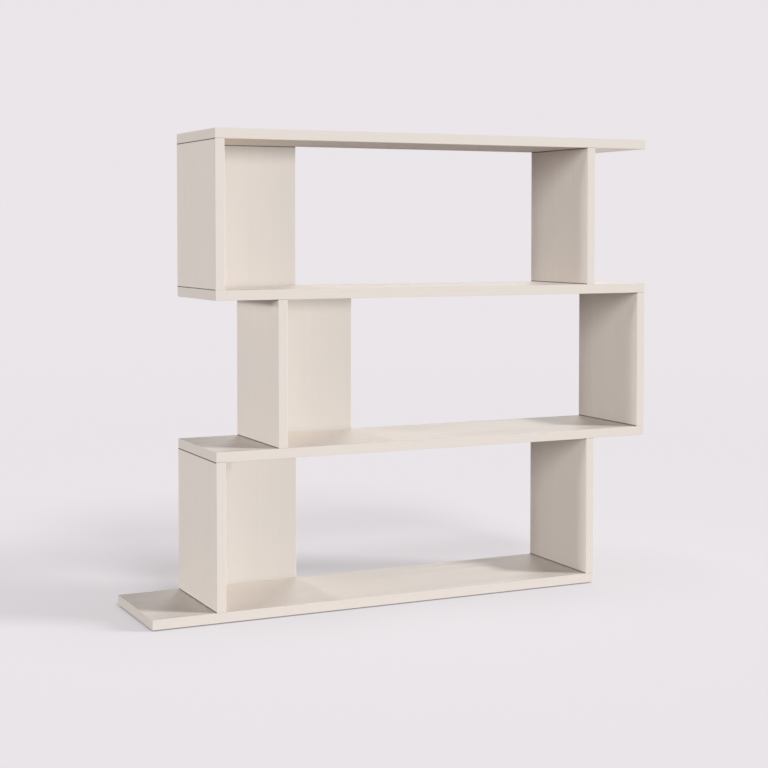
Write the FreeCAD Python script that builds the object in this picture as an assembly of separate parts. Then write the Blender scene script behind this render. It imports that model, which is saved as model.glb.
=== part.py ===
import FreeCAD, Part
import math
import os
from FreeCAD import Vector

# Zigzag bookshelf, in millimetres. +X runs along the boards to the right, +Y to the back, +Z up.
# The origin is on the floor, at the middle of the footprint.
# Equal boards lie on pairs of equal uprights. Every second level stands one step to the side,
# which makes the zigzag, and a thin panel closes the left part of each bay from behind.

# Boards and uprights
BOARD_LENGTH = 1095.0
BOARD_DEPTH = 260.0
BOARD_THICKNESS = 22.0
UPRIGHT_THICKNESS = 22.0
CLEAR_HEIGHT = 324.0
STEP = 143.0
EDGE_RADIUS = 1.2

# How many steps each level stands to the right, from the floor up
BOARD_STEPS = {"bottom_board": -1, "lower_shelf": 0, "upper_shelf": 0, "top_board": 0}
TIER_STEPS = {"lower": 0, "middle": 1, "upper": 0}

# Back panels: the width is measured from the upright's inner face to the panel's free edge
PANEL_WIDTH = 266.0
PANEL_THICKNESS = 5.0
PANEL_GAP = 0.5
PANEL_EDGE_RADIUS = 1.0
PANEL_LAP_SHARE = 0.36
PANEL_SIDE_LAP_SHARE = 0.5

# Panel screws: a countersunk head is twice as wide as its shank
SCREW_DIAMETER = 3.0
SCREW_LENGTH = 16.0
SCREW_FIT = 0.05
SCREW_HEAD_SHARE = 2.0
SCREW_POINT_SHARE = 0.2
SCREW_CROSS_LENGTH_SHARE = 1.1
SCREW_CROSS_WIDTH_SHARE = 0.24
SCREW_CROSS_DEPTH_SHARE = 0.4
SCREW_ALONG_SHARES = (0.12, 0.5, 0.88)
SCREW_UP_SHARES = (0.3, 0.7)

# Dowels: two in each end of an upright, between its two cam fittings
DOWEL_DIAMETER = 8.0
DOWEL_LENGTH = 35.0
DOWEL_CHAMFER = 1.0
DOWEL_FIT = 0.05
DOWEL_IN_BOARD_SHARE = 0.55
DOWEL_SHARES = (0.25, 0.75)

# Cam fittings: a bolt screwed into the board, and a round lock in the upright that pulls its head.
# The shares are shares of the lock's diameter, because a bolt and its lock are one standard size.
CAM_DIAMETER = 15.0
CAM_FIT = 0.1
CAM_FROM_EDGE = 45.0
CAM_FROM_END = 34.0
CAM_BELOW_BOLT_SHARE = 0.34
CAM_HOLLOW_SHARE = 0.66
CAM_DRIVE_LENGTH_SHARE = 0.54
CAM_DRIVE_WIDTH_SHARE = 0.1
CAM_DRIVE_DEPTH_SHARE = 0.16
CAM_SLOT_START = -35.0
CAM_SLOT_SWEEP = 120.0
CAM_ENTRY_START = 75.0
CAM_ENTRY_SWEEP = 60.0
BOLT_HEAD_SHARE = 0.42
BOLT_HEAD_LENGTH_SHARE = 0.18
BOLT_NECK_SHARE = 0.24
BOLT_BODY_SHARE = 0.47
BOLT_THREAD_SHARE = 0.33
BOLT_POINT_SHARE = 0.06
BOLT_IN_BOARD_SHARE = 0.5
BOLT_FIT = 0.05
BOLT_ROOM = 0.5

# Cover caps, flush with the face of the upright
CAP_THICKNESS = 1.4
CAP_EDGE_SHARE = 0.3
CAP_STUD_SHARE = 0.26
CAP_STUD_LENGTH_SHARE = 0.12

# Glides: plastic pads moulded round a nail, in two rows under the bottom board
GLIDE_DIAMETER = 24.0
GLIDE_HEIGHT = 3.0
GLIDE_EDGE_SHARE = 0.3
GLIDE_FROM_END = 70.0
GLIDE_FROM_EDGE = 35.0
NAIL_DIAMETER = 2.0
NAIL_HEAD_DIAMETER = 7.0
NAIL_HEAD_START_SHARE = 0.4
NAIL_HEAD_SHARE = 0.25
NAIL_IN_BOARD_SHARE = 0.6
NAIL_POINT_SHARE = 0.25
NAIL_FIT = 0.05

# How far every cut runs past the face that it opens, and how much deeper a blind hole is than what it holds
OVERRUN = 2.0
HOLE_END_GAP = 1.0

# Places that follow from the sizes above
OVERALL_WIDTH = BOARD_LENGTH + STEP
STACK_LEFT = STEP - OVERALL_WIDTH / 2
BAY_WIDTH = BOARD_LENGTH - STEP
FRONT = -BOARD_DEPTH / 2
BACK = BOARD_DEPTH / 2
PANEL_FRONT = BACK - PANEL_THICKNESS
PANEL_LAP = BOARD_THICKNESS * PANEL_LAP_SHARE
PANEL_SIDE_LAP = UPRIGHT_THICKNESS * PANEL_SIDE_LAP_SHARE
CAM_ROWS = (FRONT + CAM_FROM_EDGE, BACK - CAM_FROM_EDGE)
DOWEL_ROWS = [CAM_ROWS[0] + share * (CAM_ROWS[1] - CAM_ROWS[0]) for share in DOWEL_SHARES]
CAM_RADIUS = CAM_DIAMETER / 2 - CAM_FIT
CAM_HOLLOW_RADIUS = CAM_DIAMETER * CAM_HOLLOW_SHARE / 2
CAM_FLOOR = -CAM_DIAMETER * CAM_BELOW_BOLT_SHARE
CAM_FACE = UPRIGHT_THICKNESS / 2 - CAP_THICKNESS
BOLT_NECK_RADIUS = CAM_DIAMETER * BOLT_NECK_SHARE / 2
BOLT_HEAD_RADIUS = CAM_DIAMETER * BOLT_HEAD_SHARE / 2
BOLT_BODY_RADIUS = CAM_DIAMETER * BOLT_BODY_SHARE / 2
BOLT_THREAD_RADIUS = CAM_DIAMETER * BOLT_THREAD_SHARE / 2
BOLT_IN_BOARD = BOARD_THICKNESS * BOLT_IN_BOARD_SHARE
CAP_STUD_RADIUS = CAM_DIAMETER * CAP_STUD_SHARE / 2
CAP_STUD_LENGTH = CAM_DIAMETER * CAP_STUD_LENGTH_SHARE
DOWEL_IN_BOARD = BOARD_THICKNESS * DOWEL_IN_BOARD_SHARE
DOWEL_IN_UPRIGHT = DOWEL_LENGTH - DOWEL_IN_BOARD

X_AXIS = Vector(1, 0, 0)
Y_AXIS = Vector(0, 1, 0)
Z_AXIS = Vector(0, 0, 1)
ORIGIN = Vector(0, 0, 0)
FULL_TURN = 360
HALF_TURN = 180
QUARTER_TURN = 90


# Shapes that several pieces use

def box(low, high):
    size = high - low
    return Part.makeBox(size.x, size.y, size.z, low)


def rod(radius, start, end):
    """A cylinder between two points."""
    along = end - start
    return Part.makeCylinder(radius, along.Length, start, along)


def turned(profile):
    """A solid turned about Z from (radius, height) corners."""
    corners = [Vector(radius, 0, height) for radius, height in profile]
    face = Part.Face(Part.makePolygon(corners + corners[:1]))
    return face.revolve(ORIGIN, Z_AXIS, FULL_TURN)


def edges_along(shape, axis):
    """The edges of a box that run along an axis."""
    runs = [(edge, edge.Vertexes[1].Point - edge.Vertexes[0].Point) for edge in shape.Edges]
    return [edge for edge, run in runs if abs(run.dot(axis)) > run.Length / 2]


def moved(shape, place):
    copy = shape.copy()
    copy.translate(place)
    return copy


def facing_right(shape):
    """Turns a shape that points up, so that it points to the right."""
    copy = shape.copy()
    copy.rotate(ORIGIN, Y_AXIS, QUARTER_TURN)
    return copy


def facing_back(shape):
    """Turns a shape that points up, so that it points to the back."""
    copy = shape.copy()
    copy.rotate(ORIGIN, X_AXIS, -QUARTER_TURN)
    return copy


# Where the levels stand

def board_bottom(level):
    return GLIDE_HEIGHT + level * (BOARD_THICKNESS + CLEAR_HEIGHT)


def board_top(level):
    return board_bottom(level) + BOARD_THICKNESS


def upright_left(tier, side):
    """The left face of an upright: a pair spans one bay, from outer face to outer face."""
    first = STACK_LEFT + STEP * TIER_STEPS[tier]
    return first if side == "left" else first + BAY_WIDTH - UPRIGHT_THICKNESS


# Boards and uprights before they are drilled

def board_blank(level, steps):
    left = STACK_LEFT + STEP * steps
    low = Vector(left, FRONT, board_bottom(level))
    high = Vector(left + BOARD_LENGTH, BACK, board_top(level))
    blank = box(low, high)
    return blank.makeFillet(EDGE_RADIUS, blank.Edges)


def upright_blank(level, left):
    """All arrises are eased but those across the banded edges, which stay square at the sawn ends."""
    low = Vector(left, FRONT, board_top(level))
    high = Vector(left + UPRIGHT_THICKNESS, BACK, board_bottom(level + 1))
    blank = box(low, high)
    return blank.makeFillet(EDGE_RADIUS, edges_along(blank, Y_AXIS) + edges_along(blank, Z_AXIS))


# Fastenings for the top end of an upright: z = 0 is the seam, with the board above it.
# x = 0 is the middle of the upright's thickness, and the lock goes in from its right face.

def dowel():
    radius = DOWEL_DIAMETER / 2
    tip = radius - DOWEL_CHAMFER
    return turned([
        (0, -DOWEL_IN_UPRIGHT), (tip, -DOWEL_IN_UPRIGHT), (radius, DOWEL_CHAMFER - DOWEL_IN_UPRIGHT),
        (radius, DOWEL_IN_BOARD - DOWEL_CHAMFER), (tip, DOWEL_IN_BOARD), (0, DOWEL_IN_BOARD)])


def dowel_hole():
    low = Vector(0, 0, -DOWEL_IN_UPRIGHT - HOLE_END_GAP)
    high = Vector(0, 0, DOWEL_IN_BOARD + HOLE_END_GAP)
    return rod(DOWEL_DIAMETER / 2 + DOWEL_FIT, low, high)


def cam_bolt():
    """Point in the board, collar on the board's face, and a head that bears on the lock's inner wall."""
    bearing = CAM_HOLLOW_RADIUS - BOLT_FIT
    head_shoulder = math.sqrt(bearing ** 2 - BOLT_HEAD_RADIUS ** 2) - CAM_FROM_END
    neck_start = math.sqrt(bearing ** 2 - BOLT_NECK_RADIUS ** 2) - CAM_FROM_END
    head_end = head_shoulder - CAM_DIAMETER * BOLT_HEAD_LENGTH_SHARE
    body_start = CAM_DIAMETER / 2 + BOLT_ROOM - CAM_FROM_END
    point = CAM_DIAMETER * BOLT_POINT_SHARE
    return turned([
        (0, head_end), (BOLT_HEAD_RADIUS, head_end), (BOLT_HEAD_RADIUS, head_shoulder),
        (BOLT_NECK_RADIUS, neck_start), (BOLT_NECK_RADIUS, body_start), (BOLT_BODY_RADIUS, body_start),
        (BOLT_BODY_RADIUS, 0), (BOLT_THREAD_RADIUS, 0), (BOLT_THREAD_RADIUS, BOLT_IN_BOARD - point),
        (BOLT_THREAD_RADIUS - point, BOLT_IN_BOARD), (0, BOLT_IN_BOARD)])


def bolt_hole():
    """The threaded hole in the board and the wider channel in the upright, down to the lock's axis."""
    thread_end = Vector(0, 0, BOLT_IN_BOARD + HOLE_END_GAP)
    thread = rod(BOLT_THREAD_RADIUS + BOLT_FIT, ORIGIN, thread_end)
    channel = rod(BOLT_BODY_RADIUS + BOLT_ROOM, Vector(0, 0, -CAM_FROM_END), ORIGIN)
    return thread.fuse(channel)


def cam_window(half_width, start, sweep):
    """A window in the lock's rim, from an angle to the bolt's direction and round the lock's axis."""
    reach = CAM_RADIUS + OVERRUN
    corners = [Vector(-half_width, 0, 0), Vector(half_width, 0, 0),
               Vector(half_width, 0, reach), Vector(-half_width, 0, reach)]
    window = Part.Face(Part.makePolygon(corners + corners[:1])).revolve(ORIGIN, X_AXIS, sweep)
    window.rotate(ORIGIN, X_AXIS, start)
    return window


def cam_lock():
    """A round lock with a hollow for the bolt's head, a slot for its neck and a cross for the driver."""
    head_room = BOLT_HEAD_RADIUS + BOLT_ROOM
    neck_room = BOLT_NECK_RADIUS + BOLT_ROOM
    drive_end = CAM_DIAMETER * CAM_DRIVE_LENGTH_SHARE / 2
    drive_side = CAM_DIAMETER * CAM_DRIVE_WIDTH_SHARE / 2
    drive_floor = CAM_FACE - CAM_DIAMETER * CAM_DRIVE_DEPTH_SHARE
    drive_top = CAM_FACE + OVERRUN
    socket_floor = CAM_FACE - CAP_STUD_LENGTH - CAM_FIT
    lock = rod(CAM_RADIUS, Vector(CAM_FLOOR, 0, 0), Vector(CAM_FACE, 0, 0))
    lock = lock.cut([
        rod(CAM_HOLLOW_RADIUS, Vector(-head_room, 0, 0), Vector(head_room, 0, 0)),
        cam_window(neck_room, CAM_SLOT_START, CAM_SLOT_SWEEP),
        cam_window(head_room, CAM_ENTRY_START, CAM_ENTRY_SWEEP),
        box(Vector(drive_floor, -drive_end, -drive_side), Vector(drive_top, drive_end, drive_side)),
        box(Vector(drive_floor, -drive_side, -drive_end), Vector(drive_top, drive_side, drive_end)),
        rod(CAP_STUD_RADIUS + CAM_FIT, Vector(socket_floor, 0, 0), Vector(drive_top, 0, 0))])
    return moved(lock, Vector(0, 0, -CAM_FROM_END))


def cam_bore():
    mouth = UPRIGHT_THICKNESS / 2 + OVERRUN
    bore = rod(CAM_DIAMETER / 2, Vector(CAM_FLOOR, 0, 0), Vector(mouth, 0, 0))
    return moved(bore, Vector(0, 0, -CAM_FROM_END))


def cam_cap():
    """A cover disc with an eased rim and a stud that plugs into the lock."""
    edge = CAP_THICKNESS * CAP_EDGE_SHARE
    cap = turned([
        (0, -CAP_STUD_LENGTH), (CAP_STUD_RADIUS, -CAP_STUD_LENGTH), (CAP_STUD_RADIUS, 0), (CAM_RADIUS, 0),
        (CAM_RADIUS, CAP_THICKNESS - edge), (CAM_RADIUS - edge, CAP_THICKNESS), (0, CAP_THICKNESS)])
    return moved(facing_right(cap), Vector(CAM_FACE, 0, -CAM_FROM_END))


def at_end(shape, place, top):
    """Puts a fastening at one end of an upright, upside down at the bottom end."""
    copy = shape.copy()
    if not top:
        copy.rotate(ORIGIN, X_AXIS, HALF_TURN)
    copy.translate(place)
    return copy


# Panel screws, with the flat of the head at z = 0 and the point below it

def screw_outline(fit, depth):
    shank = SCREW_DIAMETER / 2 + fit
    head = SCREW_DIAMETER * SCREW_HEAD_SHARE / 2 + fit
    return shank, head, shank - head, -depth


def panel_screw():
    shank, head, neck, tip = screw_outline(0, SCREW_LENGTH)
    point = SCREW_LENGTH * SCREW_POINT_SHARE
    screw = turned([(0, 0), (head, 0), (shank, neck), (shank, tip + point), (0, tip)])
    length = SCREW_DIAMETER * SCREW_CROSS_LENGTH_SHARE / 2
    width = SCREW_DIAMETER * SCREW_CROSS_WIDTH_SHARE / 2
    depth = SCREW_DIAMETER * SCREW_CROSS_DEPTH_SHARE
    return screw.cut([
        box(Vector(-length, -width, -depth), Vector(length, width, OVERRUN)),
        box(Vector(-width, -length, -depth), Vector(width, length, OVERRUN))])


def screw_hole():
    shank, head, neck, tip = screw_outline(SCREW_FIT, SCREW_LENGTH + HOLE_END_GAP)
    return turned([(0, OVERRUN), (head, OVERRUN), (head, 0), (shank, neck), (shank, tip), (0, tip)])


# Glides, with the floor at z = 0

def glide_nail(fit):
    """The nail, or with a fit the hole that it needs in the board."""
    shank = NAIL_DIAMETER / 2 + fit
    head = NAIL_HEAD_DIAMETER / 2
    start = GLIDE_HEIGHT * NAIL_HEAD_START_SHARE
    head_end = start + GLIDE_HEIGHT * NAIL_HEAD_SHARE
    depth = BOARD_THICKNESS * NAIL_IN_BOARD_SHARE
    tip = GLIDE_HEIGHT + depth + fit
    point = depth * NAIL_POINT_SHARE
    return turned([
        (0, start), (head, start), (head, head_end), (shank, head_end), (shank, tip - point), (0, tip)])


def glide_pad():
    radius = GLIDE_DIAMETER / 2
    edge = GLIDE_HEIGHT * GLIDE_EDGE_SHARE
    pad = turned([(0, 0), (radius - edge, 0), (radius, edge), (radius, GLIDE_HEIGHT), (0, GLIDE_HEIGHT)])
    return pad.cut(glide_nail(0))


# Assembly: blanks are cut at the end, groups are fastenings that share one node
blanks = {}
cuts = {}
groups = {}

boards = list(BOARD_STEPS)
for level, name in enumerate(boards):
    blanks[name] = board_blank(level, BOARD_STEPS[name])
    cuts[name] = []


def fasten_upright(name, level, middle):
    """Drills an upright and the boards at its two ends, and puts in its dowels and cam fittings."""
    dowels = []
    bolts = []
    locks = []
    caps = []
    for top in (False, True):
        board = boards[level + 1] if top else boards[level]
        seam = board_bottom(level + 1) if top else board_top(level)
        for row in DOWEL_ROWS:
            place = Vector(middle, row, seam)
            hole = at_end(dowel_hole(), place, top)
            cuts[name].append(hole)
            cuts[board].append(hole)
            dowels.append(at_end(dowel(), place, top))
        for row in CAM_ROWS:
            place = Vector(middle, row, seam)
            hole = at_end(bolt_hole(), place, top)
            cuts[name] += [hole, at_end(cam_bore(), place, top)]
            cuts[board].append(hole)
            bolts.append(at_end(cam_bolt(), place, top))
            locks.append(at_end(cam_lock(), place, top))
            caps.append(at_end(cam_cap(), place, top))
    groups[name + "_dowels"] = dowels
    groups[name + "_cam_bolts"] = bolts
    groups[name + "_cam_locks"] = locks
    groups[name + "_cam_caps"] = caps


for level, tier in enumerate(TIER_STEPS):
    for side in ("left", "right"):
        name = tier + "_" + side + "_upright"
        left = upright_left(tier, side)
        blanks[name] = upright_blank(level, left)
        cuts[name] = []
        fasten_upright(name, level, left + UPRIGHT_THICKNESS / 2)


def add_back_panel(tier, level):
    """Lets a panel into rebates in the left upright and the boards, flush with their backs, and screws it."""
    name = tier + "_back_panel"
    upright = tier + "_left_upright"
    below = boards[level]
    above = boards[level + 1]
    inner_face = upright_left(tier, "left") + UPRIGHT_THICKNESS
    floor = board_top(level)
    ceiling = board_bottom(level + 1)
    left = inner_face - PANEL_SIDE_LAP
    right = inner_face + PANEL_WIDTH
    bottom = floor - PANEL_LAP
    top = ceiling + PANEL_LAP
    panel = box(Vector(left, PANEL_FRONT, bottom), Vector(right, BACK, top))
    free_edges = [edge for edge in edges_along(panel, Z_AXIS) if edge.CenterOfMass.x > inner_face]
    blanks[name] = panel.makeFillet(PANEL_EDGE_RADIUS, free_edges)
    cuts[name] = []

    rebate_left = left - PANEL_GAP
    rebate_right = right + PANEL_GAP
    rebate_back = BACK + OVERRUN
    cuts[upright].append(box(Vector(rebate_left, PANEL_FRONT, floor - OVERRUN),
                             Vector(inner_face + OVERRUN, rebate_back, ceiling + OVERRUN)))
    cuts[below].append(box(Vector(rebate_left, PANEL_FRONT, bottom - PANEL_GAP),
                           Vector(rebate_right, rebate_back, floor + OVERRUN)))
    cuts[above].append(box(Vector(rebate_left, PANEL_FRONT, ceiling - OVERRUN),
                           Vector(rebate_right, rebate_back, top + PANEL_GAP)))

    seats = []
    for share in SCREW_UP_SHARES:
        seats.append((upright, inner_face - PANEL_SIDE_LAP / 2, floor + share * CLEAR_HEIGHT))
    for share in SCREW_ALONG_SHARES:
        along = inner_face + share * PANEL_WIDTH
        seats.append((below, along, floor - PANEL_LAP / 2))
        seats.append((above, along, ceiling + PANEL_LAP / 2))
    screws = []
    for carrier, along, height in seats:
        place = Vector(along, BACK, height)
        hole = moved(facing_back(screw_hole()), place)
        cuts[name].append(hole)
        cuts[carrier].append(hole)
        screws.append(moved(facing_back(panel_screw()), place))
    groups[name + "_screws"] = screws


for level, tier in enumerate(TIER_STEPS):
    add_back_panel(tier, level)


def add_glides():
    board = boards[0]
    left = STACK_LEFT + STEP * BOARD_STEPS[board]
    right = left + BOARD_LENGTH
    pads = []
    nails = []
    for along in (left + GLIDE_FROM_END, (left + right) / 2, right - GLIDE_FROM_END):
        for row in (FRONT + GLIDE_FROM_EDGE, BACK - GLIDE_FROM_EDGE):
            place = Vector(along, row, 0)
            pads.append(moved(glide_pad(), place))
            nails.append(moved(glide_nail(0), place))
            cuts[board].append(moved(glide_nail(NAIL_FIT), place))
    groups["glide_pads"] = pads
    groups["glide_nails"] = nails


add_glides()

os.makedirs("parts", exist_ok=True)
nodes = {name: blank.cut(cuts[name]) for name, blank in blanks.items()}
nodes.update({name: Part.makeCompound(solids) for name, solids in groups.items()})
for name, shape in nodes.items():
    shape.exportStep("parts/" + name + ".step")
    print(name, "solids", len(shape.Solids), "valid", shape.isValid(), "volume", round(shape.Volume))
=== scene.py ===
# %% [markdown]
# # Zigzag bookshelf
# This bookshelf is flat-pack furniture. Four equal boards lie on three pairs of equal uprights, and every
# second level stands one step to the side, which makes the zigzag. A thin panel closes the left part of
# each bay from behind. All of it is cream foil on particle board.
#
# The drawn pieces come in at their real size and place, so the lesson doesn't model boards again. It
# gives each piece the finish that it has on the real object, models the small fittings more finely, and
# then lights and photographs the bookshelf in a plain studio.

# %% Load the drawn pieces
import math
import bmesh
import bpy
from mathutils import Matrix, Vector


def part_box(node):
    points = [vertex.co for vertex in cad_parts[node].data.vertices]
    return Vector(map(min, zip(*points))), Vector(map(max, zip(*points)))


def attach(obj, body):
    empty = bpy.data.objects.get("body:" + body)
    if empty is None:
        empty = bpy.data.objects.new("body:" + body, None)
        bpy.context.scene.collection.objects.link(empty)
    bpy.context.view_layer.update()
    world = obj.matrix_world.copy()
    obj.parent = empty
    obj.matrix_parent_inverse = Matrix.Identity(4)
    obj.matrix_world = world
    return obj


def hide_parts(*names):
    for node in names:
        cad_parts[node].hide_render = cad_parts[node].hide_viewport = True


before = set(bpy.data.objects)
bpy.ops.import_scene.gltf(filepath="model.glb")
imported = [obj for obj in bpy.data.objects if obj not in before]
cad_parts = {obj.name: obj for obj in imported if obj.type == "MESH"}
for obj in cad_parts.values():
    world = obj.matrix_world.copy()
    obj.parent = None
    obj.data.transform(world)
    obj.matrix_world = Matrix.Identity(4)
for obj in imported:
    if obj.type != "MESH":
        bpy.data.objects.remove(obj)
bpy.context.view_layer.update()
MM = 0.001
print("drawn pieces:", len(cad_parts))

# %% [markdown]
# ## Sorting the pieces
# A workshop sorts a kit before it starts. The big pieces are the boards, the uprights and the back
# panels. Everything else is a fitting, and its name ends in what it is, so the names do the sorting.

# %% Sort the pieces by name
TIERS = ("lower", "middle", "upper")
BOARDS = ("bottom_board", "lower_shelf", "upper_shelf", "top_board")
UPRIGHTS = [tier + side for tier in TIERS for side in ("_left_upright", "_right_upright")]
PANELS = [tier + "_back_panel" for tier in TIERS]


def fittings(ending):
    """The names of the drawn fittings of one kind."""
    return [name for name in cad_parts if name.endswith(ending)]


print("boards:", len(BOARDS), "uprights:", len(UPRIGHTS), "panels:", len(PANELS))
print("fitting groups:", len(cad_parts) - len(BOARDS) - len(UPRIGHTS) - len(PANELS))

# %% [markdown]
# ## Modelling by hand
# The small fittings are modelled as at the screen: a primitive at its real size and place, then edit
# mode, where a few faces are picked and inset, extruded or bevelled. The helpers below only pick faces
# and copy pieces.

# %% Helpers for picking and copying
SAME_WAY = 0.99
SAME_PLACE = 0.01 * MM
SMOOTH_ANGLE = math.radians(30)
QUARTER_TURN = math.radians(90)
RIGHT = Vector((1, 0, 0))
BACK = Vector((0, 1, 0))


def edit_new_piece(name):
    """Names the primitive that was just added, fixes its place and opens it in edit mode."""
    piece = bpy.context.object
    piece.name = name
    bpy.ops.object.transform_apply(location=True, rotation=True, scale=True)
    bpy.ops.object.mode_set(mode="EDIT")
    bpy.ops.mesh.select_mode(type="FACE")
    return piece


def pick_faces(piece, towards, place):
    """Selects the faces that look one way and lie at one place along it."""
    bpy.ops.mesh.select_all(action="DESELECT")
    shape = bmesh.from_edit_mesh(piece.data)
    for face in shape.faces:
        reach = face.calc_center_median().dot(towards)
        face.select_set(face.normal.dot(towards) > SAME_WAY and abs(reach - place) < SAME_PLACE)
    bmesh.update_edit_mesh(piece.data)
    print(piece.name, "picked", sum(face.select for face in shape.faces), "faces")


def repeat_all(*steps):
    """In edit mode, adds a copy of everything at each step from the first."""
    bpy.ops.mesh.select_all(action="SELECT")
    here = Vector((0, 0, 0))
    for step in steps:
        bpy.ops.mesh.duplicate()
        bpy.ops.transform.translate(value=step - here)
        here = step


def copy_piece(piece, name, step):
    """A copy with its own mesh, one step away."""
    bpy.ops.object.select_all(action="DESELECT")
    piece.select_set(True)
    bpy.context.view_layer.objects.active = piece
    bpy.ops.object.duplicate()
    twin = bpy.context.object
    twin.name = name
    bpy.ops.transform.translate(value=step)
    bpy.ops.object.transform_apply(location=True)
    return twin


print("modelling helpers ready")

# %% [markdown]
# ## Cover caps
# Four round locks pull each upright to its boards. They sit in bores in its right face, and a small
# moulded cap closes each bore flush. A cap is a disc with an eased rim, a fine ring that the mould
# leaves, and a stud behind that plugs into the lock. So it starts as a flat cylinder that faces right.
# One cap is modelled, repeated at the four bores, and the set of four is copied to the other uprights.

# %% A cap with its stud
CAP_RADIUS = 7.4 * MM
CAP_THICKNESS = 1.4 * MM
CAP_FROM_MIDDLE = 85 * MM
CAP_FROM_END = 34 * MM
CAP_SIDES = 48
STUD_FROM_RIM = 5.4 * MM
STUD_LENGTH = 1.6 * MM
STUD_TAPER = 0.85

first_low, first_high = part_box(UPRIGHTS[0])
cap_face = first_high.x
cap_middle = Vector((cap_face - CAP_THICKNESS / 2, -CAP_FROM_MIDDLE, first_low.z + CAP_FROM_END))
bpy.ops.object.select_all(action="DESELECT")
bpy.ops.mesh.primitive_cylinder_add(
    vertices=CAP_SIDES, radius=CAP_RADIUS, depth=CAP_THICKNESS,
    location=cap_middle, rotation=(0, QUARTER_TURN, 0))
first_caps = edit_new_piece("lower_left_cover_caps")
pick_faces(first_caps, -RIGHT, CAP_THICKNESS - cap_face)
bpy.ops.mesh.inset(thickness=STUD_FROM_RIM)
bpy.ops.mesh.extrude_region_move(TRANSFORM_OT_translate={"value": (-STUD_LENGTH, 0, 0)})
bpy.ops.transform.resize(value=(1, STUD_TAPER, STUD_TAPER))

# %% Its rim and ring, and the set of four
RIM_EASE = 0.42 * MM
RIM_SEGMENTS = 3
RING_FROM_RIM = 1.3 * MM
RING_SLOPE = 0.12 * MM
RING_WIDTH = 0.3 * MM
RING_DEPTH = 0.2 * MM

pick_faces(first_caps, RIGHT, cap_face)
bpy.ops.mesh.bevel(offset=RIM_EASE, segments=RIM_SEGMENTS, affect="EDGES")
pick_faces(first_caps, RIGHT, cap_face)
bpy.ops.mesh.inset(thickness=RING_FROM_RIM)
bpy.ops.mesh.inset(thickness=RING_SLOPE, depth=-RING_DEPTH)
bpy.ops.mesh.inset(thickness=RING_WIDTH)
bpy.ops.mesh.inset(thickness=RING_SLOPE, depth=RING_DEPTH)
row_step = Vector((0, 2 * CAP_FROM_MIDDLE, 0))
end_step = Vector((0, 0, first_high.z - first_low.z - 2 * CAP_FROM_END))
repeat_all(row_step, row_step + end_step, end_step)
bpy.ops.object.mode_set(mode="OBJECT")
bpy.ops.object.shade_smooth_by_angle(angle=SMOOTH_ANGLE)
print("one set of caps:", len(first_caps.data.polygons), "faces")

# %% Caps for every upright
cover_caps = {UPRIGHTS[0]: first_caps}
for upright in UPRIGHTS[1:]:
    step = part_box(upright)[0] - first_low
    cover_caps[upright] = copy_piece(first_caps, upright.replace("upright", "cover_caps"), step)
for upright, caps in cover_caps.items():
    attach(caps, "root")
    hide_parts(upright + "_cam_caps")
print("cover caps on", len(cover_caps), "uprights")

# %% [markdown]
# ## Panel screws
# Eight countersunk screws hold each back panel, and their heads lie flush with its back. The head starts
# as a disc that faces back. It is extruded forwards and narrowed to the cone, then to the shank, then to
# the point. A cross recess narrows towards its floor, so that the driver's tip wedges in it. Two tapered
# blades cut it.

# %% Where the screws of a panel sit
PANEL_WIDTH = 266 * MM
ROW_SHARES = (0.12, 0.5, 0.88)
COLUMN_SHARES = (0.3, 0.7)

panel_low, panel_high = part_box(PANELS[0])
panel_back = panel_high.y
clear_height = first_high.z - first_low.z
lap = (panel_high.z - panel_low.z - clear_height) / 2
rows = (first_low.z - lap / 2, first_high.z + lap / 2)
seats = [Vector((first_high.x + share * PANEL_WIDTH, panel_back, row))
         for share in ROW_SHARES for row in rows]
side_column = (panel_low.x + first_high.x) / 2
seats += [Vector((side_column, panel_back, first_low.z + share * clear_height))
          for share in COLUMN_SHARES]
print("screws in a panel:", len(seats), "and its lap:", round(lap / MM, 2), "mm")

# %% The first screw, with its head open
HEAD_RADIUS = 3 * MM
HEAD_HEIGHT = 1.5 * MM
SHANK_RADIUS = 1.5 * MM
SCREW_LENGTH = 16 * MM
SCREW_SIDES = 32
POINT_LENGTH = 3.2 * MM
POINT_TAPER = 0.1

shank_length = SCREW_LENGTH - HEAD_HEIGHT - POINT_LENGTH
neck = SHANK_RADIUS / HEAD_RADIUS
bpy.ops.object.select_all(action="DESELECT")
bpy.ops.mesh.primitive_circle_add(
    vertices=SCREW_SIDES, radius=HEAD_RADIUS, fill_type="NGON",
    location=seats[0], rotation=(QUARTER_TURN, 0, 0))
first_screws = edit_new_piece("lower_panel_screws")
bpy.ops.mesh.select_all(action="SELECT")
bpy.ops.mesh.extrude_region_move(TRANSFORM_OT_translate={"value": (0, -HEAD_HEIGHT, 0)})
bpy.ops.transform.resize(value=(neck, 1, neck))
bpy.ops.mesh.extrude_region_move(TRANSFORM_OT_translate={"value": (0, -shank_length, 0)})
bpy.ops.mesh.extrude_region_move(TRANSFORM_OT_translate={"value": (0, -POINT_LENGTH, 0)})
bpy.ops.transform.resize(value=(POINT_TAPER, 1, POINT_TAPER))
bpy.ops.mesh.select_mode(type="EDGE")
bpy.ops.mesh.select_all(action="DESELECT")
bpy.ops.mesh.select_non_manifold()
bpy.ops.mesh.edge_face_add()
bpy.ops.mesh.select_all(action="SELECT")
bpy.ops.mesh.normals_make_consistent(inside=False)
bpy.ops.object.mode_set(mode="OBJECT")
blank_length = round(first_screws.dimensions.y / MM, 2)
print("screw blank:", len(first_screws.data.polygons), "faces, length", blank_length, "mm")

# %% Cut the cross recess
RECESS_LENGTH = 3.3 * MM
RECESS_WIDTH = 0.75 * MM
RECESS_DEPTH = 1.3 * MM
RECESS_TAPER = (0.5, 1, 0.7)

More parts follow.
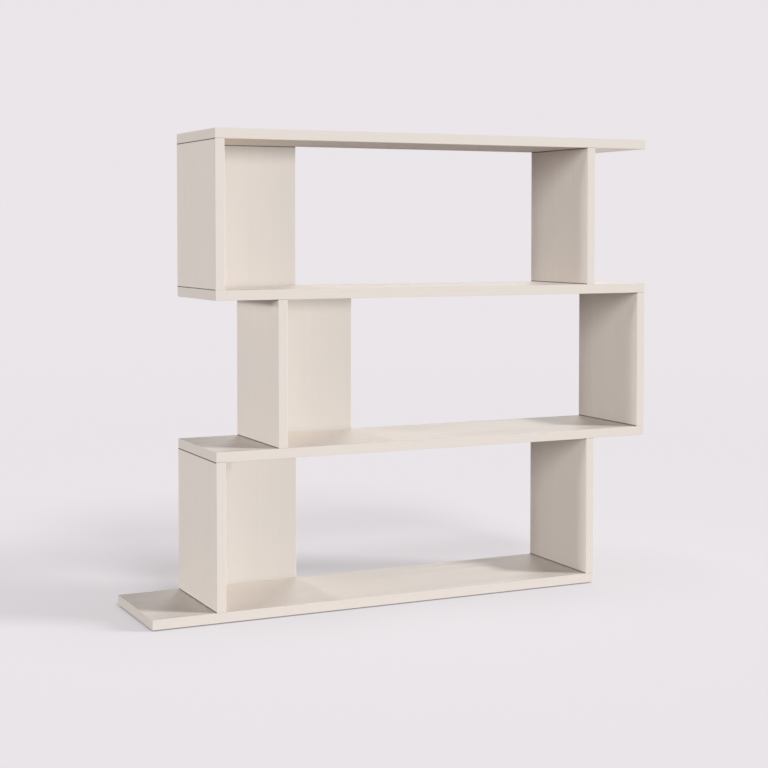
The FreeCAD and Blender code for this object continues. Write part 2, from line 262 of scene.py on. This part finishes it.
bpy.ops.object.select_all(action="DESELECT")
bpy.ops.mesh.primitive_cube_add(
    size=1, location=seats[0], scale=(RECESS_LENGTH, 2 * RECESS_DEPTH, RECESS_WIDTH))
blades = edit_new_piece("driver_blades")
pick_faces(blades, -BACK, RECESS_DEPTH - panel_back)
bpy.ops.transform.resize(value=RECESS_TAPER)
bpy.ops.mesh.select_all(action="SELECT")
bpy.ops.mesh.duplicate()
bpy.ops.transform.rotate(value=QUARTER_TURN, orient_axis="Y", center_override=seats[0])
bpy.ops.object.mode_set(mode="OBJECT")
bpy.context.view_layer.objects.active = first_screws
bpy.ops.object.modifier_add(type="BOOLEAN")
recess = first_screws.modifiers[-1]
recess.operation = "DIFFERENCE"
recess.use_self = True
recess.object = blades
bpy.ops.object.modifier_apply(modifier=recess.name)
bpy.data.objects.remove(blades)
print("screw with cross recess:", len(first_screws.data.polygons), "faces")

# %% Screws for every panel
bpy.ops.object.mode_set(mode="EDIT")
repeat_all(*[seat - seats[0] for seat in seats[1:]])
bpy.ops.object.mode_set(mode="OBJECT")
bpy.ops.object.select_all(action="DESELECT")
first_screws.select_set(True)
bpy.ops.object.shade_smooth_by_angle(angle=SMOOTH_ANGLE)
panel_screws = {PANELS[0]: first_screws}
for panel in PANELS[1:]:
    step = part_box(panel)[0] - panel_low
    panel_screws[panel] = copy_piece(first_screws, panel.replace("back_panel", "panel_screws"), step)
for panel, screws in panel_screws.items():
    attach(screws, "root")
    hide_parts(panel + "_screws")
print("panel screws:", len(panel_screws), "sets of", len(seats))

# %% [markdown]
# ## Wiring a finish
# A finish in Blender is a small web of nodes. In the shader editor you add a node, type its numbers and
# pull a wire from one socket to the next. These helpers do the same three things, so that the finishes
# below read like a recipe: a node that is given a socket gets a wire, and a node that is given a number
# gets the number.

# %% Helpers that add nodes and wires
def put(tree, kind, inputs, **settings):
    """Adds a node. Each input is a number, a colour, or a socket to wire from."""
    made = tree.nodes.new("ShaderNode" + kind)
    for key, value in settings.items():
        setattr(made, key, value)
    for key, value in inputs.items():
        if isinstance(value, bpy.types.NodeSocket):
            tree.links.new(value, made.inputs[key])
        else:
            made.inputs[key].default_value = value
    return made


def calc(tree, operation, *values):
    """A sum on one or two numbers."""
    return put(tree, "Math", dict(enumerate(values)), operation=operation).outputs[0]


def fade(tree, value, start, end):
    """0 where the value is at start, 1 where it is at end, and a soft step between them."""
    inputs = {"Value": value, "From Min": start, "From Max": end}
    return put(tree, "MapRange", inputs, interpolation_type="SMOOTHSTEP").outputs["Result"]


def between(tree, value, low, high):
    """Turns a value from 0 to 1 into a value from low to high."""
    return put(tree, "MapRange", {"Value": value, "To Min": low, "To Max": high}).outputs["Result"]


FIRST_COLOUR = 6
SECOND_COLOUR = 7
MIXED_COLOUR = 2


def mix_colours(tree, share, first, second):
    """Goes from the first colour to the second as the share goes from 0 to 1."""
    inputs = {"Factor": share, FIRST_COLOUR: first, SECOND_COLOUR: second}
    return put(tree, "Mix", inputs, data_type="RGBA").outputs[MIXED_COLOUR]


def new_finish(name):
    """An empty finish: the material, its node tree and its shader."""
    finish = bpy.data.materials.new(name)
    finish.use_nodes = True
    shader = finish.node_tree.nodes["Principled BSDF"]
    return finish, finish.node_tree, shader


def dress(name, finish):
    """Puts a finish on a drawn piece."""
    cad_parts[name].material_slots[0].material = finish


print("node helpers ready")

# %% [markdown]
# ## Where a point lies on its piece
# Edges wear before faces do, a saw cut shows the core, and a hairline runs beside every edge band. To
# paint these the finish has to know how far a point lies from the faces of its own piece. You could
# unwrap each piece and paint a picture. Here the piece is a box of known size, so the distance is plain
# arithmetic on the object's own coordinates, and it stays sharp from any distance.

# %% Depth of a point under the faces of its piece
X, Y, Z = 0, 1, 2
LOOKS_ASIDE = 0.6
LOOKS_ALONG = 0.8


def depth_under_faces(tree, low, high):
    """How deep a point lies inside the box of its piece, seen along X, Y and Z."""
    middle = (low + high) / 2
    place = put(tree, "TexCoord", {}).outputs["Object"]
    centred = put(tree, "VectorMath", {0: place, 1: middle}, operation="SUBTRACT").outputs[0]
    away = put(tree, "VectorMath", {0: centred}, operation="ABSOLUTE").outputs[0]
    depth = put(tree, "VectorMath", {0: (high - low) / 2, 1: away}, operation="SUBTRACT").outputs[0]
    return put(tree, "SeparateXYZ", {0: depth}).outputs


def edge_distance(tree, depth):
    """How far a point on the surface is from the nearest edge: the middle one of the three depths."""
    smaller = calc(tree, "MINIMUM", depth[X], depth[Y])
    larger = calc(tree, "MAXIMUM", depth[X], depth[Y])
    return calc(tree, "MAXIMUM", smaller, calc(tree, "MINIMUM", larger, depth[Z]))


def along_normal(tree, axis):
    """How much a face looks along an axis: 1 ahead, -1 the other way, 0 to the side."""
    normal = put(tree, "TexCoord", {}).outputs["Normal"]
    return put(tree, "SeparateXYZ", {0: normal}).outputs[axis]


def facing(tree, axis, start=LOOKS_ASIDE, end=LOOKS_ALONG):
    """1 on faces that look along an axis, either way, 0 on the others."""
    return fade(tree, calc(tree, "ABSOLUTE", along_normal(tree, axis)), start, end)


for name in (BOARDS[0], UPRIGHTS[0], PANELS[0]):
    low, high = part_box(name)
    print(name, "size in mm:", [round(side / MM) for side in high - low])

# %% [markdown]
# ## The print on the foil
# The foil carries a very quiet wood print: broad pale streaks, fine fibres and short pores, all running
# along the piece. A photographed print could be used, but noise that is stretched along the grain has no
# seams and no repeats. Every board lies somewhere else in the noise, so no two boards look alike.

# %% Streaks, fibres and pores
STREAK = (420 * MM, 11 * MM)
FIBRE = (60 * MM, 1.1 * MM)
PORE = (9 * MM, 0.5 * MM)
NOISE_LOW, NOISE_HIGH = 0.3, 0.7
PORE_START, PORE_FULL = 0.64, 0.72


def stretched_noise(tree, grain, length, width, detail):
    """Noise with spots of a given length along the grain and a given width across it."""
    scale = Vector((1 / width, 1 / width, 1 / width))
    scale[grain] = 1 / length
    place = put(tree, "TexCoord", {}).outputs["Object"]
    stretched = put(tree, "Mapping", {"Vector": place, "Scale": scale}).outputs[0]
    return put(tree, "TexNoise", {"Vector": stretched, "Scale": 1, "Detail": detail}).outputs["Fac"]


def wood_print(tree, grain):
    """The three layers of the print, each from 0 to 1."""
    streaks = fade(tree, stretched_noise(tree, grain, *STREAK, detail=3), NOISE_LOW, NOISE_HIGH)
    fibres = fade(tree, stretched_noise(tree, grain, *FIBRE, detail=2), NOISE_LOW, NOISE_HIGH)
    pores = fade(tree, stretched_noise(tree, grain, *PORE, detail=0), PORE_START, PORE_FULL)
    return streaks, fibres, pores


layers = {"streaks": STREAK, "fibres": FIBRE, "pores": PORE}
print("print, in mm:", {name: [round(side / MM, 1) for side in spot] for name, spot in layers.items()})

# %% [markdown]
# ## The core
# Under the foil is particle board. It shows wherever a tool has cut through: in the rebates for the back
# panels, in the drilled holes, and at both ends of an upright, which are sawn and never banded because a
# board covers them. There only the eased edge shows, painted dark as shade in the seam.

# %% Particle board core
CHIP_PALE = (0.43, 0.30, 0.18, 1)
CHIP_DARK = (0.24, 0.15, 0.08, 1)
CHIP_SIZE = 2.5 * MM
CUT_START, CUT_FULL = 0.8 * MM, 0.9 * MM


def particle_core(tree):
    """Pressed chips of a few millimetres, pale and dark."""
    place = put(tree, "TexCoord", {}).outputs["Object"]
    chips = put(tree, "TexVoronoi", {"Vector": place, "Scale": 1 / CHIP_SIZE}).outputs["Color"]
    tone = put(tree, "SeparateColor", {"Color": chips}).outputs["Red"]
    return mix_colours(tree, tone, CHIP_PALE, CHIP_DARK)


def cut_open(tree, depth):
    """1 where a cut shows the core: deeper than the eased edges reach."""
    nearest = calc(tree, "MINIMUM", calc(tree, "MINIMUM", depth[X], depth[Y]), depth[Z])
    return fade(tree, nearest, CUT_START, CUT_FULL)


print("core: chips of", round(CHIP_SIZE / MM, 1), "mm")

# %% [markdown]
# ## Shades of cream
# The foil is a warm off-white, but not one colour all over. The bands on the front and back edges are
# painted a little paler than the foil, as painted light, and those on the ends of the boards a little
# darker, as painted shade. The back panels are a little cooler in front, and darker there as painted
# shade of the bays. The undersides of the boards, where nobody looks, are painted darker as shade below
# them. Each rule below picks its faces by the way that they look.

# %% Foil shades and the faces that have them
CREAM_PALE = (0.750, 0.686, 0.630, 1)
CREAM_DEEP = (0.724, 0.660, 0.604, 1)
# Panel fronts: a cooler cream, darker as painted shade inside the bays.
PANEL_SHADED_PALE = (0.680, 0.643, 0.604, 1)
PANEL_SHADED_DEEP = (0.656, 0.619, 0.581, 1)
# Paler bands: painted light. Darker bands on the board ends: painted shade.
FRONT_BAND_LIT = (0.810, 0.743, 0.685, 1)
END_BAND_SHADED = (0.690, 0.628, 0.576, 1)
# Painted shade on the undersides of the boards.
UNDERSIDE_SHADE = (0.610, 0.535, 0.465, 1)
BAND_SHARE = 0.8
UNDERSIDE_SHADE_SHARE = 0.7


def banded_edges(tree, colour, axis, band):
    """Edge bands on the two faces across an axis, in the shade that the call gives."""
    return mix_colours(tree, calc(tree, "MULTIPLY", facing(tree, axis), BAND_SHARE), colour, band)


def shade_below(tree, colour):
    """The darker cream on the underside of a board: painted shade below it."""
    below = fade(tree, along_normal(tree, Z), -LOOKS_ASIDE, -LOOKS_ALONG)
    return mix_colours(tree, calc(tree, "MULTIPLY", below, UNDERSIDE_SHADE_SHARE), colour, UNDERSIDE_SHADE)


def shaded_panel_front(tree, colour, tone):
    """The darker, cooler cream on all but the back of a back panel: painted shade inside the bays."""
    ahead = fade(tree, along_normal(tree, Y), LOOKS_ALONG, LOOKS_ASIDE)
    return mix_colours(tree, ahead, colour, mix_colours(tree, tone, PANEL_SHADED_PALE, PANEL_SHADED_DEEP))


# The panel front, the band shades and the backing are painted light and shade.
print("foil shades: cream, panel front, two edge bands and a backing")

# %% [markdown]
# ## Seams
# Thin lines tell the eye how the bookshelf is put together. Beside every edge band, two millimetres in
# from the front and the back, runs the hairline where band and foil meet. The sawn ends of an upright chip
# a little, and its seam with a board is a dark line on its sides, partly chipping and partly painted
# shade.
# A panel stands on the board below it, and a dark line of painted shade runs where it meets the board
# above.

# %% Lines where pieces meet
CREAM_JOINT = (0.620, 0.552, 0.492, 1)
# Painted shade for the seams at the ends of uprights and above the panels.
SEAM_SHADE = (0.085, 0.068, 0.052, 1)
BAND_THICKNESS = 2 * MM
HAIRLINE_REACH, HAIRLINE_FULL = 0.16 * MM, 0.06 * MM
SAWN_START, SAWN_FULL = 0.1, 0.3
CHIPPED_SHADE_REACH, CHIPPED_SHADE_FULL = 2.6 * MM, 1.6 * MM
# Reach of the line of painted shade above a panel.
GAP_SHADE_REACH, GAP_SHADE_FULL = 2.4 * MM, 1.6 * MM
SEAM_SHADE_SHARE = 0.8


def band_joint(tree, depth):
    """The hairline beside the bands on the front and the back of a piece."""
    off_line = calc(tree, "ABSOLUTE", calc(tree, "SUBTRACT", depth[Y], BAND_THICKNESS))
    return fade(tree, off_line, HAIRLINE_REACH, HAIRLINE_FULL)


def chipped_and_shaded_ends(tree, colour, depth):
    """The sawn ends of an upright painted dark, and a dark line beside them on its sides: chipping and
    painted seam shade.
    """
    colour = mix_colours(tree, facing(tree, Z, SAWN_START, SAWN_FULL), colour, SEAM_SHADE)
    near_end = fade(tree, depth[Z], CHIPPED_SHADE_REACH, CHIPPED_SHADE_FULL)
    chipped_and_shaded = calc(tree, "MULTIPLY", facing(tree, X), near_end)
    return mix_colours(tree, calc(tree, "MULTIPLY", chipped_and_shaded, SEAM_SHADE_SHARE), colour, SEAM_SHADE)


def shade_line_above(tree, colour, underside):
    """A line of painted shade where a back panel meets the board above it, seen from the front."""
    place = put(tree, "TexCoord", {}).outputs["Object"]
    height = put(tree, "SeparateXYZ", {0: place}).outputs[Z]
    off_line = calc(tree, "ABSOLUTE", calc(tree, "SUBTRACT", height, underside))
    gap_shade = fade(tree, off_line, GAP_SHADE_REACH, GAP_SHADE_FULL)
    in_front = fade(tree, along_normal(tree, Y), -LOOKS_ASIDE, -LOOKS_ALONG)
    gap_shade = calc(tree, "MULTIPLY", gap_shade, in_front)
    return mix_colours(tree, calc(tree, "MULTIPLY", gap_shade, SEAM_SHADE_SHARE), colour, SEAM_SHADE)


print("seams: band hairline, chipped ends and panel gap")

# %% [markdown]
# ## Cream foil
# Now the layers go on top of each other, as on the real board: the printed foil, its shade on each face,
# which is partly painted light and shade, edges rubbed a little smoother and painted paler, partly wear
# and partly a painted highlight, the seams, and the core wherever a cut goes through. The foil is nearly
# matt. The print moves its colour by only a few hundredths, and the pores are pressed in slightly.

# %% The print on one piece
STREAK_TONE, FIBRE_TONE, PORE_TONE = 0.35, 0.4, 0.35


def foil_print(tree, grain, banded_ends):
    """The wood print, with the grain turned across on the banded ends of a board."""
    layers = wood_print(tree, grain)
    if not banded_ends:
        return layers
    ends = facing(tree, X)
    pairs = zip(layers, wood_print(tree, Y))
    return [put(tree, "Mix", {"Factor": ends, "A": face, "B": end}).outputs[0] for face, end in pairs]


def print_tone(tree, streaks, fibres, pores):
    """How deep the print makes the cream."""
    streaks = calc(tree, "MULTIPLY", streaks, STREAK_TONE)
    fibres = calc(tree, "MULTIPLY", fibres, FIBRE_TONE)
    pores = calc(tree, "MULTIPLY", pores, PORE_TONE)
    return calc(tree, "ADD", calc(tree, "ADD", streaks, fibres), pores)


print("shares of the print:", STREAK_TONE, FIBRE_TONE, PORE_TONE)

# %% The cream foil finish
# Paler, smoother edges: partly wear, partly a painted highlight.
CREAM_RUBBED_HIGHLIT = (0.762, 0.700, 0.646, 1)
RUBBED_HIGHLIT_REACH, RUBBED_HIGHLIT_FULL = 2.2 * MM, 0.4 * MM
RUBBED_HIGHLIT_LEAST, RUBBED_HIGHLIT_MOST = 0.25, 0.7
RUBBED_POLISH = 0.08
JOINT_SHARE = 0.5
FOIL_SMOOTH, FOIL_ROUGH = 0.60, 0.68
CORE_ROUGHER = 0.4
FIBRE_RELIEF = 0.3
FOIL_RELIEF = {"Strength": 0.3, "Distance": 0.06 * MM}
FOIL_SPECULAR = 0.3


def cream_foil(name, grain):
    """The foil finish for one board, upright or back panel, with the grain along one axis."""
    low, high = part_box(name)
    finish, tree, shader = new_finish("cream_foil_" + name)
    depth = depth_under_faces(tree, low, high)
    streaks, fibres, pores = foil_print(tree, grain, name in BOARDS)
    tone = print_tone(tree, streaks, fibres, pores)
    colour = mix_colours(tree, tone, CREAM_PALE, CREAM_DEEP)
    if name in PANELS:
        colour = shaded_panel_front(tree, colour, tone)
    else:
        # Paler bands on fronts and backs: painted light.
        colour = banded_edges(tree, colour, Y, FRONT_BAND_LIT)
    if name in BOARDS:
        # Darker bands on the board ends: painted shade.
        colour = banded_edges(tree, colour, X, END_BAND_SHADED)
        colour = shade_below(tree, colour)
    rubbed_highlit = fade(tree, edge_distance(tree, depth), RUBBED_HIGHLIT_REACH, RUBBED_HIGHLIT_FULL)
    rubbed_highlit = calc(tree, "MULTIPLY", rubbed_highlit, between(tree, fibres, RUBBED_HIGHLIT_LEAST, RUBBED_HIGHLIT_MOST))
    colour = mix_colours(tree, rubbed_highlit, colour, CREAM_RUBBED_HIGHLIT)
    joint = band_joint(tree, depth)
    colour = mix_colours(tree, calc(tree, "MULTIPLY", joint, JOINT_SHARE), colour, CREAM_JOINT)
    cut = cut_open(tree, depth)
    colour = mix_colours(tree, cut, colour, particle_core(tree))
    if name in UPRIGHTS:
        colour = chipped_and_shaded_ends(tree, colour, depth)
    if name in PANELS:
        colour = shade_line_above(tree, colour, high.z - lap)

    rough = between(tree, streaks, FOIL_SMOOTH, FOIL_ROUGH)
    rough = calc(tree, "SUBTRACT", rough, calc(tree, "MULTIPLY", rubbed_highlit, RUBBED_POLISH))
    rough = calc(tree, "ADD", rough, calc(tree, "MULTIPLY", cut, CORE_ROUGHER))
    height = calc(tree, "SUBTRACT", calc(tree, "MULTIPLY", fibres, FIBRE_RELIEF), pores)
    height = calc(tree, "SUBTRACT", height, joint)
    relief = put(tree, "Bump", {**FOIL_RELIEF, "Height": height}).outputs[0]
    tree.links.new(colour, shader.inputs["Base Color"])
    tree.links.new(rough, shader.inputs["Roughness"])
    tree.links.new(relief, shader.inputs["Normal"])
    shader.inputs["Specular IOR Level"].default_value = FOIL_SPECULAR
    return finish


for name in BOARDS:
    dress(name, cream_foil(name, X))
for name in [*UPRIGHTS, *PANELS]:
    dress(name, cream_foil(name, Z))
print("cream foil on", len(BOARDS) + len(UPRIGHTS) + len(PANELS), "pieces")

# %% [markdown]
# ## Beech dowels
# The dowels are turned from beech and sit out of sight in the seams. They still get their wood: a pinkish
# brown with darker flecks along the stick.

# %% Beech
BEECH_PALE = (0.60, 0.40, 0.25, 1)
BEECH_DEEP = (0.44, 0.26, 0.14, 1)
BEECH_STREAK = (30 * MM, 1.2 * MM)
BEECH_FLECK = (2.5 * MM, 0.25 * MM)
FLECK_START, FLECK_FULL = 0.6, 0.7
BEECH_SMOOTH, BEECH_ROUGH = 0.55, 0.7
BEECH_RELIEF = {"Strength": 0.4, "Distance": 0.1 * MM}
FLECK_TONE = 0.4


def beech_finish():
    """Turned beech with flecks along the stick."""
    finish, tree, shader = new_finish("beech")
    streaks = fade(tree, stretched_noise(tree, Z, *BEECH_STREAK, detail=3), NOISE_LOW, NOISE_HIGH)
    flecks = fade(tree, stretched_noise(tree, Z, *BEECH_FLECK, detail=0), FLECK_START, FLECK_FULL)
    streaks_share = calc(tree, "MULTIPLY", streaks, 1 - FLECK_TONE)
    tone = calc(tree, "ADD", streaks_share, calc(tree, "MULTIPLY", flecks, FLECK_TONE))
    relief = put(tree, "Bump", {**BEECH_RELIEF, "Height": streaks}).outputs[0]
    tree.links.new(mix_colours(tree, tone, BEECH_PALE, BEECH_DEEP), shader.inputs["Base Color"])
    tree.links.new(between(tree, streaks, BEECH_SMOOTH, BEECH_ROUGH), shader.inputs["Roughness"])
    tree.links.new(relief, shader.inputs["Normal"])
    return finish


beech = beech_finish()
for name in fittings("_dowels"):
    dress(name, beech)
print("beech on", len(fittings("_dowels")), "sets of dowels")

# %% [markdown]
# ## Metal fittings
# The bolts, screws and nails are steel with a thin zinc plating, cool and fairly bright. The round locks
# are cast zinc, greyer and rougher. Both are the same recipe, a metal whose colour and polish drift with
# a cloudy noise, with other numbers.

# %% Plated steel and cast zinc
METAL_TARNISH = (0.40, 0.41, 0.43, 1)
STEEL_BRIGHT = (0.74, 0.75, 0.77, 1)
ZINC_BRIGHT = (0.56, 0.57, 0.59, 1)
TARNISH_START, TARNISH_FULL = 0.45, 0.75
GRITS_IN_CLOUD = 12
METAL_RELIEF = {"Strength": 0.3, "Distance": 0.05 * MM}


def metal_finish(name, bright, smooth, rough, cloud):
    """A grey metal whose colour and polish change from spot to spot."""
    finish, tree, shader = new_finish(name)
    place = put(tree, "TexCoord", {}).outputs["Object"]
    clouds = put(tree, "TexNoise", {"Vector": place, "Scale": 1 / cloud, "Detail": 4}).outputs["Fac"]
    tarnish = fade(tree, clouds, TARNISH_START, TARNISH_FULL)
    fine = {"Vector": place, "Scale": GRITS_IN_CLOUD / cloud, "Detail": 2}
    grit = put(tree, "TexNoise", fine).outputs["Fac"]
    relief = put(tree, "Bump", {**METAL_RELIEF, "Height": grit}).outputs[0]
    shader.inputs["Metallic"].default_value = 1
    tree.links.new(mix_colours(tree, tarnish, bright, METAL_TARNISH), shader.inputs["Base Color"])
    tree.links.new(between(tree, clouds, smooth, rough), shader.inputs["Roughness"])
    tree.links.new(relief, shader.inputs["Normal"])
    return finish


plated_steel = metal_finish("plated_steel", STEEL_BRIGHT, smooth=0.22, rough=0.42, cloud=3 * MM)
cast_zinc = metal_finish("cast_zinc", ZINC_BRIGHT, smooth=0.38, rough=0.58, cloud=2 * MM)
for name in fittings("_cam_bolts") + fittings("_nails"):
    dress(name, plated_steel)
for screws in panel_screws.values():
    screws.data.materials.append(plated_steel)
for name in fittings("_cam_locks"):
    dress(name, cast_zinc)
print("metal on", len(fittings("_cam_bolts")) + len(fittings("_cam_locks")), "sets of cam fittings")

# %% [markdown]
# ## Plastic fittings
# The cover caps are moulded in the colour of the foil, a shade cooler, with the fine spark texture that a
# mould leaves. The glides under the bottom board are a greyer, waxy plastic that the floor has scuffed.

# %% Moulded plastic
CAP_PALE = (0.75, 0.70, 0.65, 1)
CAP_DEEP = (0.69, 0.64, 0.59, 1)
GLIDE_PALE = (0.55, 0.54, 0.52, 1)
GLIDE_DEEP = (0.43, 0.42, 0.40, 1)
MOTTLE_SIZE = 6 * MM
SPARK_SIZE = 0.25 * MM
PLASTIC_RELIEF = {"Strength": 0.35, "Distance": 0.05 * MM}
ROUGH_DRIFT = 0.06


def moulded_plastic(name, pale, deep, rough):
    """Plastic with a mould texture and slight mottling."""
    finish, tree, shader = new_finish(name)
    place = put(tree, "TexCoord", {}).outputs["Object"]
    mottle = put(tree, "TexNoise", {"Vector": place, "Scale": 1 / MOTTLE_SIZE, "Detail": 3}).outputs["Fac"]
    spark = put(tree, "TexNoise", {"Vector": place, "Scale": 1 / SPARK_SIZE, "Detail": 1}).outputs["Fac"]
    relief = put(tree, "Bump", {**PLASTIC_RELIEF, "Height": spark}).outputs[0]
    tree.links.new(mix_colours(tree, mottle, pale, deep), shader.inputs["Base Color"])
    drift = between(tree, mottle, rough - ROUGH_DRIFT, rough + ROUGH_DRIFT)
    tree.links.new(drift, shader.inputs["Roughness"])
    tree.links.new(relief, shader.inputs["Normal"])
    return finish


cap_plastic = moulded_plastic("cap_plastic", CAP_PALE, CAP_DEEP, rough=0.42)
glide_plastic = moulded_plastic("glide_plastic", GLIDE_PALE, GLIDE_DEEP, rough=0.5)
for caps in cover_caps.values():
    caps.data.materials.append(cap_plastic)
dress("glide_pads", glide_plastic)
print("plastic on", len(cover_caps), "sets of caps and on the glides")

# %% [markdown]
# ## Floor
# The bookshelf stands on a pale seamless floor that runs into the background without a horizon. A real
# studio uses a curved paper roll. Here a wide plane does it. For the camera most of its colour is an even
# glow in the background colour, and two lamps add the rest, so that the shadow stays as light as on paper
# in a bright room. Close to the bookshelf and under it the glow fades, because less of the room reaches
# the floor there.

# %% Pale seamless floor
BACKGROUND = (0.823, 0.791, 0.815, 1)
GLOW = (0.532, 0.511, 0.527, 1)
PAPER = (0.26, 0.25, 0.257, 1)
PAPER_SEEN = (0.30, 0.288, 0.297, 1)
CONTACT_REACH = 0.47
CONTACT_SHADE = 0.5
CREVICE_OPEN = 0.4
CREVICE_GLOW = 0.4
BACKDROP_START, BACKDROP_FULL = 2.5, 7.0
FLOOR_SIZE = 80


def seen_directly(tree):
    """1 for the camera's own rays and for reflections, 0 for light that bounces."""
    rays = put(tree, "LightPath", {}).outputs
    sharp = calc(tree, "MAXIMUM", rays["Is Glossy Ray"], rays["Is Transmission Ray"])
    return calc(tree, "MAXIMUM", rays["Is Camera Ray"], sharp)


def paper_finish():
    """Paper that glows near the bookshelf and goes over into the background far from it."""
    finish = bpy.data.materials.new("studio_paper")
    finish.use_nodes = True
    tree = finish.node_tree
    tree.nodes.clear()
    seen = seen_directly(tree)
    open_share = put(tree, "AmbientOcclusion", {"Distance": CONTACT_REACH}).outputs["AO"]
    contact = between(tree, open_share, 1 - CONTACT_SHADE, 1)
    crevice = between(tree, fade(tree, open_share, 0.0, CREVICE_OPEN), CREVICE_GLOW, 1)
    contact = calc(tree, "MULTIPLY", contact, crevice)
    strength = calc(tree, "MULTIPLY", contact, seen)
    glow = put(tree, "Emission", {"Color": GLOW, "Strength": strength}).outputs[0]
    paper = put(tree, "BsdfDiffuse", {"Color": mix_colours(tree, seen, PAPER, PAPER_SEEN)}).outputs[0]
    near = put(tree, "AddShader", {0: paper, 1: glow}).outputs[0]
    place = put(tree, "TexCoord", {}).outputs["Object"]
    distance = put(tree, "VectorMath", {0: place}, operation="LENGTH").outputs["Value"]
    far = calc(tree, "MULTIPLY", fade(tree, distance, BACKDROP_START, BACKDROP_FULL), seen)
    backdrop = put(tree, "Emission", {"Color": BACKGROUND}).outputs[0]
    mixed = put(tree, "MixShader", {0: far, 1: near, 2: backdrop}).outputs[0]
    put(tree, "OutputMaterial", {"Surface": mixed})
    finish.cycles.emission_sampling = "NONE"
    return finish


bpy.ops.object.select_all(action="DESELECT")
bpy.ops.mesh.primitive_plane_add(size=FLOOR_SIZE)
floor = bpy.context.object
floor.name = "studio_floor"
floor.data.materials.append(paper_finish())
print("floor:", tuple(round(side) for side in floor.dimensions[:2]), "m")

# %% [markdown]
# ## Background
# The world behind the floor has the same flat colour. The camera and reflections see it at full strength.
# As a light it is weak, because the lamps below do the work.

# %% Studio world
WORLD_LIGHT = 0.045
world = bpy.data.worlds.new("studio")
bpy.context.scene.world = world
world.use_nodes = True
world.cycles.sampling_method = "NONE"
sky = world.node_tree
sky.nodes["Background"].inputs["Color"].default_value = BACKGROUND
strength = between(sky, seen_directly(sky), WORLD_LIGHT, 1)
sky.links.new(strength, sky.nodes["Background"].inputs["Strength"])
bpy.context.scene.view_settings.view_transform = "Standard"
print("world light:", WORLD_LIGHT)

# %% [markdown]
# ## Light
# Soft boxes light the bookshelf. A sun lamp with a wide angle behaves like a soft box far away: its light
# is even over the whole shelf. The main one stands low at the front right, so that the shelves shade the
# backs only a little. One fills in from the front left, a weaker one lights the left sides, and two come
# from behind, of which one shows as a sheen. A steep one lights the shelf tops, and one from low at the
# right shines up under the overhanging end of the top board.
#
# Light linking says which pieces a lamp reaches and which ones shade it, as flags and screens do in a
# studio. Two lamps reach the floor alone, so that it has one soft shadow and not seven.

# %% Which lamp reaches what
def light_group(name, pieces, state="INCLUDE"):
    """A list of pieces for light linking."""
    group = bpy.data.collections.new(name)
    for piece in pieces:
        group.objects.link(bpy.data.objects[piece])
    for member in group.collection_objects:
        member.light_linking.link_state = state
    return group


floor_only = light_group("floor_only", [floor.name])
all_but_floor = light_group("all_but_floor", [floor.name], "EXCLUDE")
lower_uprights = light_group("lower_uprights", UPRIGHTS[:4])
print("light groups:", [group.name for group in bpy.data.collections if group.collection_objects])

# %% Soft boxes
SHEEN = ("back_right",)


def soft_box(name, azimuth, elevation, spread, strength, reaches, shaded_by=None):
    """A wide light. Azimuth 0 is straight in front, 90 is to the right."""
    lamp = bpy.data.lights.new(name, "SUN")
    lamp.angle = math.radians(spread)
    lamp.energy = math.pi * strength
    turn, lift = math.radians(azimuth), math.radians(elevation)
    towards = Vector((math.sin(turn) * math.cos(lift), -math.cos(turn) * math.cos(lift), math.sin(lift)))
    holder = bpy.data.objects.new(name, lamp)
    holder.rotation_euler = towards.to_track_quat("Z", "Y").to_euler()
    holder.light_linking.receiver_collection = reaches
    holder.light_linking.blocker_collection = shaded_by
    holder.visible_glossy = name in SHEEN
    bpy.context.scene.collection.objects.link(holder)


# Azimuth, elevation and spread in degrees, strength, the pieces it reaches and those that shade it.
SOFT_BOXES = {
    "key": (48, 2.4, 9, 0.87, all_but_floor, all_but_floor),
    "fill_front_left": (-72, 6, 12, 0.40, all_but_floor),
    "fill_left": (-89, 6, 4, 0.31, all_but_floor),
    "back_right": (150, 26, 20, 0.22, all_but_floor),
    "back": (180, 14, 6, 0.48, all_but_floor),
    "shelf_tops": (57, 58, 7, 0.43, all_but_floor, lower_uprights),
    "overhang": (84, -68, 3, 0.42, all_but_floor, all_but_floor),
    "floor_key": (60, 12, 20, 2.30, floor_only),
    "floor_fill": (3, 43, 18, 0.62, floor_only),
}
for name, setting in SOFT_BOXES.items():
    soft_box(name, *setting)
print("soft boxes:", list(SOFT_BOXES))

# %% [markdown]
# ## Camera
# The photograph was taken from the front left, a little below the top of the bookshelf, with the camera
# almost level, so that the uprights stay upright. A long lens and a shifted sensor keep them so.

# %% Camera at the photograph's place
PLACE = (-1.5977, -3.3362, 0.8441)
TILT_DOWN = math.radians(2.203)
TURN_RIGHT = math.radians(25.339)
LENS = 74.53
SENSOR = 36
SHIFT_UP = -0.1198

camera_data = bpy.data.cameras.new("camera")
camera_data.lens = LENS
camera_data.sensor_width = SENSOR
camera_data.shift_y = SHIFT_UP
camera = bpy.data.objects.new("camera", camera_data)
camera.location = PLACE
camera.rotation_euler = (QUARTER_TURN - TILT_DOWN, 0, -TURN_RIGHT)
bpy.context.scene.collection.objects.link(camera)
bpy.context.scene.camera = camera
print("camera:", tuple(round(c, 2) for c in camera.location), "lens", round(camera_data.lens, 1), "mm")
